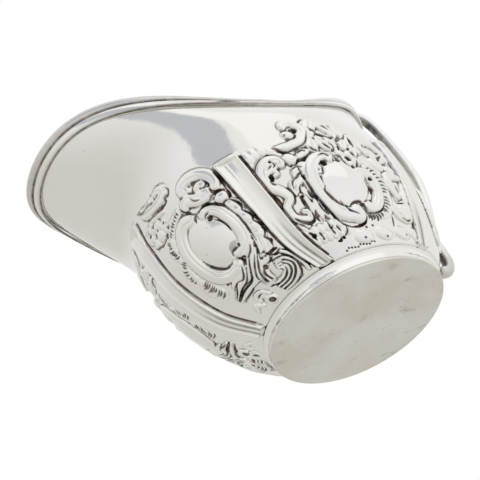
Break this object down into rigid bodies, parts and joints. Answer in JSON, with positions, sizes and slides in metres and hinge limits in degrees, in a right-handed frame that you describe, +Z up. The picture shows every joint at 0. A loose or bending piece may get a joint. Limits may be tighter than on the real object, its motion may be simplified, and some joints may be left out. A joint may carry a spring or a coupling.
{
  "type": "sauce boat",
  "caption": "Small silver sauce boat with a broad raised spout, fluted ribs between embossed panels, a moulded rim wire, a low round foot and a loop handle.",
  "frame": {"origin": "centre of the underside of the foot", "axes": "+Z up, the spout points along -X and the handle along +X, so the boat is symmetric about the XZ plane"},
  "size_m": [0.137, 0.094, 0.0919],
  "materials": {
    "embossed_silver": "polished silver, chased and darkened in the recesses",
    "polished_silver": "polished silver",
    "satin_silver": "satin silver"
  },
  "bodies": {
    "root": {"body_shell": "embossed_silver", "rim_wire": "polished_silver", "foot_collar": "polished_silver", "base_disc": "satin_silver", "handle_loop": "polished_silver", "handle_upper_seat": "polished_silver", "handle_lower_seat": "polished_silver"}
  },
  "joints": []
}
